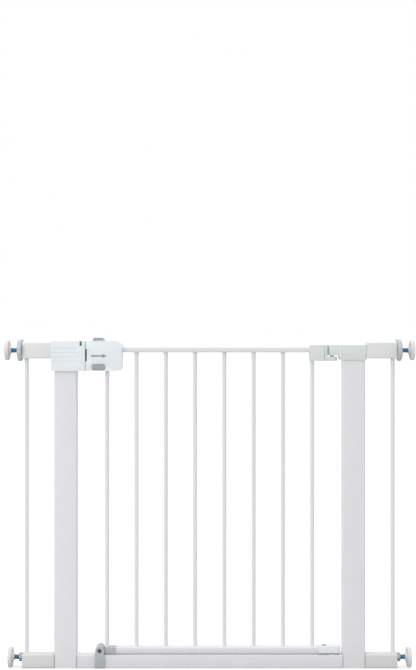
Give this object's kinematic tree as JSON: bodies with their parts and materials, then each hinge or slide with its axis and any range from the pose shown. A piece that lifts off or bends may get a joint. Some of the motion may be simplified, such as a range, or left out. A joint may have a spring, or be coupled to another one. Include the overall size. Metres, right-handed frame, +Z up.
{
  "type": "safety baby gate",
  "caption": "Pressure-mounted safety gate: white steel frame, barred swing door with a two-action latch and green indicator, extension bars and threaded wall spindles with hand wheels.",
  "frame": {"origin": "centre of the threshold bar's underside, midway between the wall pads", "axes": "+X towards the hinge side, +Y away from the user, +Z up"},
  "size_m": [0.8908, 0.0472, 0.7185],
  "materials": {
    "white_steel": "semi-gloss white powder coat",
    "white_plastic": "satin moulded white plastic",
    "grey_plastic": "fine moulded grain, light grey",
    "dark_plastic": "dark grey moulded plastic",
    "green_plastic": "green flag, red at its other end",
    "clear_plastic": "clear lens",
    "blue_zinc": "blue-passivated zinc on a rolled thread",
    "bright_zinc": "bright zinc plate",
    "spring_steel": "drawn spring wire",
    "pad_rubber": "off-white elastomer"
  },
  "bodies": {
    "frame": {"left_post": "white_steel", "right_post": "white_steel", "threshold_bar": "white_steel", "post_foot_plugs": "white_plastic", "latch_cap_front": "white_plastic", "latch_cap_rear": "white_plastic", "latch_cap_screws": "bright_zinc", "keeper_plate": "dark_plastic", "indicator_window": "clear_plastic", "flag_spring": "spring_steel", "hinge_post_cap": "white_plastic", "hinge_cap_screws": "bright_zinc", "upper_hinge_pin": "bright_zinc", "lower_hinge_pin": "bright_zinc", "lower_hinge_base": "white_steel", "lower_hinge_washer": "dark_plastic", "stop_front_jaw": "grey_plastic", "stop_rear_jaw": "grey_plastic", "stop_screw": "bright_zinc", "stop_nut": "bright_zinc", "left_top_bracket": "white_plastic", "left_bottom_bracket": "white_plastic", "right_top_bracket": "white_plastic", "right_bottom_bracket": "white_plastic", "left_extension_bar": "white_steel", "right_extension_bar": "white_steel", "extension_studs": "bright_zinc"},
    "door": {"door_top_rail": "white_steel", "door_bottom_rail": "white_steel", "door_bars": "white_steel", "door_tongue": "grey_plastic", "upper_hinge_cover": "white_plastic", "upper_hinge_foot": "white_plastic", "hinge_cover_screws": "bright_zinc", "lower_hinge_cap": "white_plastic", "lower_cap_screw": "bright_zinc", "handle_front": "white_plastic", "handle_rear": "white_plastic", "handle_screws": "bright_zinc", "bolt_spring": "spring_steel", "button_spring": "spring_steel"},
    "latch": {"latch_bolt": "dark_plastic", "thumb_slide": "grey_plastic"},
    "button": {"push_button": "grey_plastic"},
    "indicator": {"indicator_flag": "green_plastic"},
    "left_top_spindle": {"left_top_spindle": "blue_zinc", "left_top_pad": "pad_rubber"},
    "left_top_wheel": {"left_top_wheel": "grey_plastic"},
    "left_bottom_spindle": {"left_bottom_spindle": "blue_zinc", "left_bottom_pad": "pad_rubber"},
    "left_bottom_nut": {"left_bottom_nut": "bright_zinc"},
    "right_top_spindle": {"right_top_spindle": "blue_zinc", "right_top_pad": "pad_rubber"},
    "right_top_wheel": {"right_top_wheel": "grey_plastic"},
    "right_bottom_spindle": {"right_bottom_spindle": "blue_zinc", "right_bottom_pad": "pad_rubber"},
    "right_bottom_nut": {"right_bottom_nut": "bright_zinc"}
  },
  "joints": [
    {"name": "door_swing", "type": "hinge", "parent": "frame", "child": "door", "pos_m": [0.267, 0, 0.35], "axis": [0, 0, -1], "range_deg": [0, 90]},
    {"name": "bolt_slide", "type": "slide", "parent": "door", "child": "latch", "axis": [1, 0, 0], "range_m": [0, 0.008], "stiffness_N_per_m": 500, "springref_m": -0.006, "deforming": ["bolt_spring"]},
    {"name": "button_press", "type": "slide", "parent": "door", "child": "button", "axis": [0, 1, 0], "range_m": [0, 0.003], "stiffness_N_per_m": 600, "springref_m": -0.003, "deforming": ["button_spring"]},
    {"name": "flag_slide", "type": "slide", "parent": "frame", "child": "indicator", "axis": [1, 0, 0], "range_m": [0, 0.005], "deforming": ["flag_spring"]},
    {"name": "left_top_wheel_turn", "type": "hinge", "parent": "frame", "child": "left_top_wheel", "pos_m": [-0.4134, 0, 0.691], "axis": [-1, 0, 0], "range_deg": [-2401, 7921]},
    {"name": "left_top_spindle_slide", "type": "slide", "parent": "frame", "child": "left_top_spindle", "axis": [-1, 0, 0], "range_m": [-0.01, 0.033]},
    {"name": "left_bottom_nut_turn", "type": "hinge", "parent": "frame", "child": "left_bottom_nut", "pos_m": [-0.4134, 0, 0.022], "axis": [-1, 0, 0], "range_deg": [-1681, 7921]},
    {"name": "left_bottom_spindle_slide", "type": "slide", "parent": "frame", "child": "left_bottom_spindle", "axis": [-1, 0, 0], "range_m": [-0.007, 0.033]},
    {"name": "right_top_wheel_turn", "type": "hinge", "parent": "frame", "child": "right_top_wheel", "pos_m": [0.4134, 0, 0.691], "axis": [1, 0, 0], "range_deg": [-2401, 7921]},
    {"name": "right_top_spindle_slide", "type": "slide", "parent": "frame", "child": "right_top_spindle", "axis": [1, 0, 0], "range_m": [-0.01, 0.033]},
    {"name": "right_bottom_nut_turn", "type": "hinge", "parent": "frame", "child": "right_bottom_nut", "pos_m": [0.4134, 0, 0.022], "axis": [1, 0, 0], "range_deg": [-1681, 7921]},
    {"name": "right_bottom_spindle_slide", "type": "slide", "parent": "frame", "child": "right_bottom_spindle", "axis": [1, 0, 0], "range_m": [-0.007, 0.033]}
  ],
  "couplings": [
    {"joint": "flag_slide", "follows": "bolt_slide", "ratio": 0.625},
    {"joint": "left_top_wheel_turn", "follows": "left_top_spindle_slide", "rad_per_m": 4188.8},
    {"joint": "left_bottom_nut_turn", "follows": "left_bottom_spindle_slide", "rad_per_m": 4188.8},
    {"joint": "right_top_wheel_turn", "follows": "right_top_spindle_slide", "rad_per_m": 4188.8},
    {"joint": "right_bottom_nut_turn", "follows": "right_bottom_spindle_slide", "rad_per_m": 4188.8}
  ]
}
